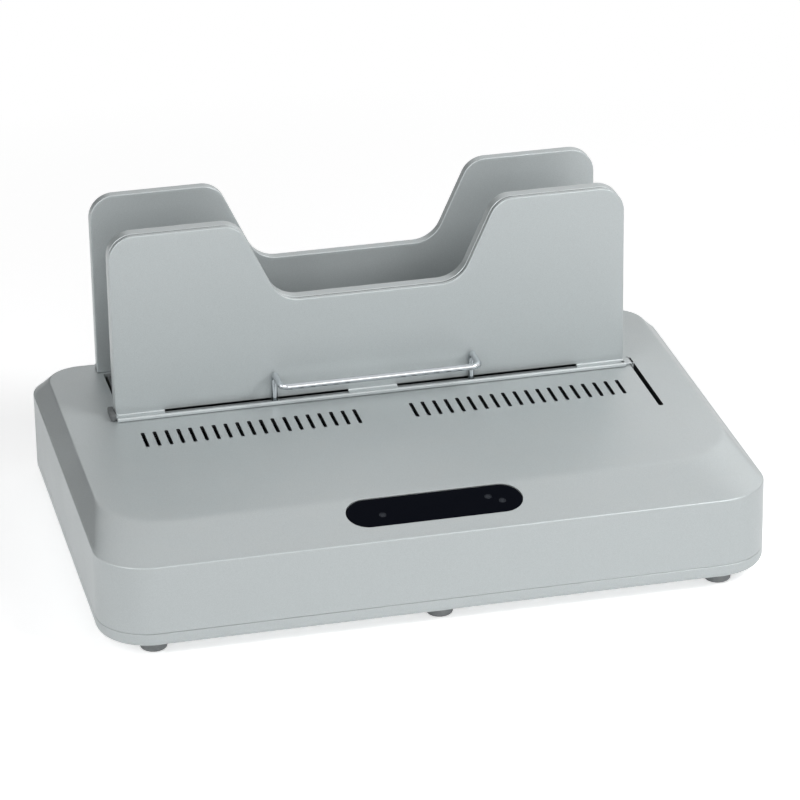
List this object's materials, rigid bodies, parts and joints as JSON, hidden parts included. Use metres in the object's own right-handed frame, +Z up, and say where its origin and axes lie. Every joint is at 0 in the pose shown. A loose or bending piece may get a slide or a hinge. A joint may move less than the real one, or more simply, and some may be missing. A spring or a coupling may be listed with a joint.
{
  "type": "thermal binding machine",
  "caption": "Desk-top thermal binder: low sloped housing with a fixed rear support, a sliding front support with a wire handle and a heated plate between them.",
  "frame": {"origin": "on the table, under the middle of the housing", "axes": "+X to the user's right, +Y to the rear, +Z up"},
  "size_m": [0.414, 0.2886, 0.1914],
  "materials": {
    "casing": "satin silver-grey paint",
    "support_paint": "satin silver-grey paint",
    "foot_rubber": "matt dark grey",
    "wire_chrome": "bright chrome",
    "steel": "plain zinc-plated steel",
    "plate": "dull aluminium",
    "window_black": "polished black",
    "black_plastic": "fine matt black",
    "grey_plastic": "matt grey",
    "mica": null,
    "board": "green board",
    "lamp": "clear lamp"
  },
  "bodies": {
    "housing": {"top_cover": "casing", "base_pan": "casing", "rear_support": "support_paint", "foot_front_left": "foot_rubber", "foot_front_middle": "foot_rubber", "foot_front_right": "foot_rubber", "foot_rear_left": "foot_rubber", "foot_rear_middle": "foot_rubber", "foot_rear_right": "foot_rubber", "housing_screw_1": "steel", "housing_screw_2": "steel", "housing_screw_3": "steel", "housing_screw_4": "steel", "housing_screw_5": "steel", "housing_screw_6": "steel", "support_screw_1": "steel", "support_screw_2": "steel", "support_screw_3": "steel", "board_screw_left": "steel", "board_screw_right": "steel", "guide_rod": "steel", "heater_tray": "steel", "transformer": "steel", "thermal_fuse": "steel", "heating_plate": "plate", "control_window": "window_black", "power_bezel": "black_plastic", "power_inlet": "black_plastic", "power_switch": "black_plastic", "relay": "black_plastic", "buzzer": "black_plastic", "capacitor": "black_plastic", "thermostat": "black_plastic", "heater_element": "mica", "insulation_pad": "mica", "insulator_block_left": "mica", "insulator_block_right": "mica", "main_board": "board", "control_board": "board", "led_power": "lamp", "led_ready": "lamp", "led_cooling": "lamp"},
    "sliding_support": {"front_support": "support_paint", "front_support_back": "support_paint", "wire_handle": "wire_chrome", "glide_shoe": "grey_plastic", "slide_carriage": "grey_plastic"},
    "rocker": {"power_rocker": "black_plastic"}
  },
  "joints": [
    {"name": "support_slide", "type": "slide", "parent": "housing", "child": "sliding_support", "axis": [0, -1, 0], "range_m": [0, 0.064]},
    {"name": "rocker_tilt", "type": "hinge", "parent": "housing", "child": "rocker", "pos_m": [-0.104, 0.13465, 0.038], "axis": [1, 0, 0], "range_deg": [0, 16]}
  ]
}
